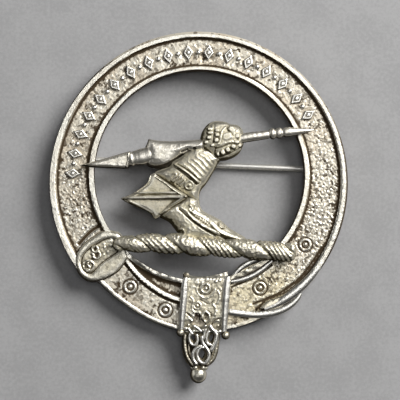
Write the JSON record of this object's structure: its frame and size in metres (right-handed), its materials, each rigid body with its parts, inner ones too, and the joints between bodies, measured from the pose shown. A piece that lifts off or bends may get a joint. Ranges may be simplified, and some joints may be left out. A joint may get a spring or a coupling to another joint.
{
  "type": "clan crest brooch",
  "caption": "Cast silver strap-and-buckle ring brooch with an armoured arm and broken spear on a wreath, and a hinged pin and catch behind",
  "frame": {"origin": "middle of the brooch's bounding box, on the plane that the pin fittings rest on", "axes": "+Z out of the face, +Y to the top of the belt, +X to the right of someone who looks at the face"},
  "size_m": [0.0478, 0.0558, 0.0072],
  "materials": {
    "belt_silver": "cast silver, polished on the rims and dark in the sunk parts",
    "crest_silver": "cast silver with a warm grey patina",
    "pin_silver": "drawn and filed silver, lightly worn"
  },
  "bodies": {
    "brooch": {"belt_ring": "belt_silver", "buckle": "belt_silver", "keeper": "belt_silver", "belt_tip": "belt_silver", "wreath": "crest_silver", "armoured_arm": "crest_silver", "broken_spear": "crest_silver", "pin_hinge": "pin_silver", "hinge_rivet": "pin_silver", "catch_hook": "pin_silver"},
    "pin": {"pin_stem": "pin_silver"}
  },
  "joints": [
    {"name": "pin_swing", "type": "hinge", "parent": "brooch", "child": "pin", "pos_m": [-0.02003, 0.0079, 0.00085], "axis": [0.0419, 0.9991, 0], "range_deg": [0, 110]}
  ]
}
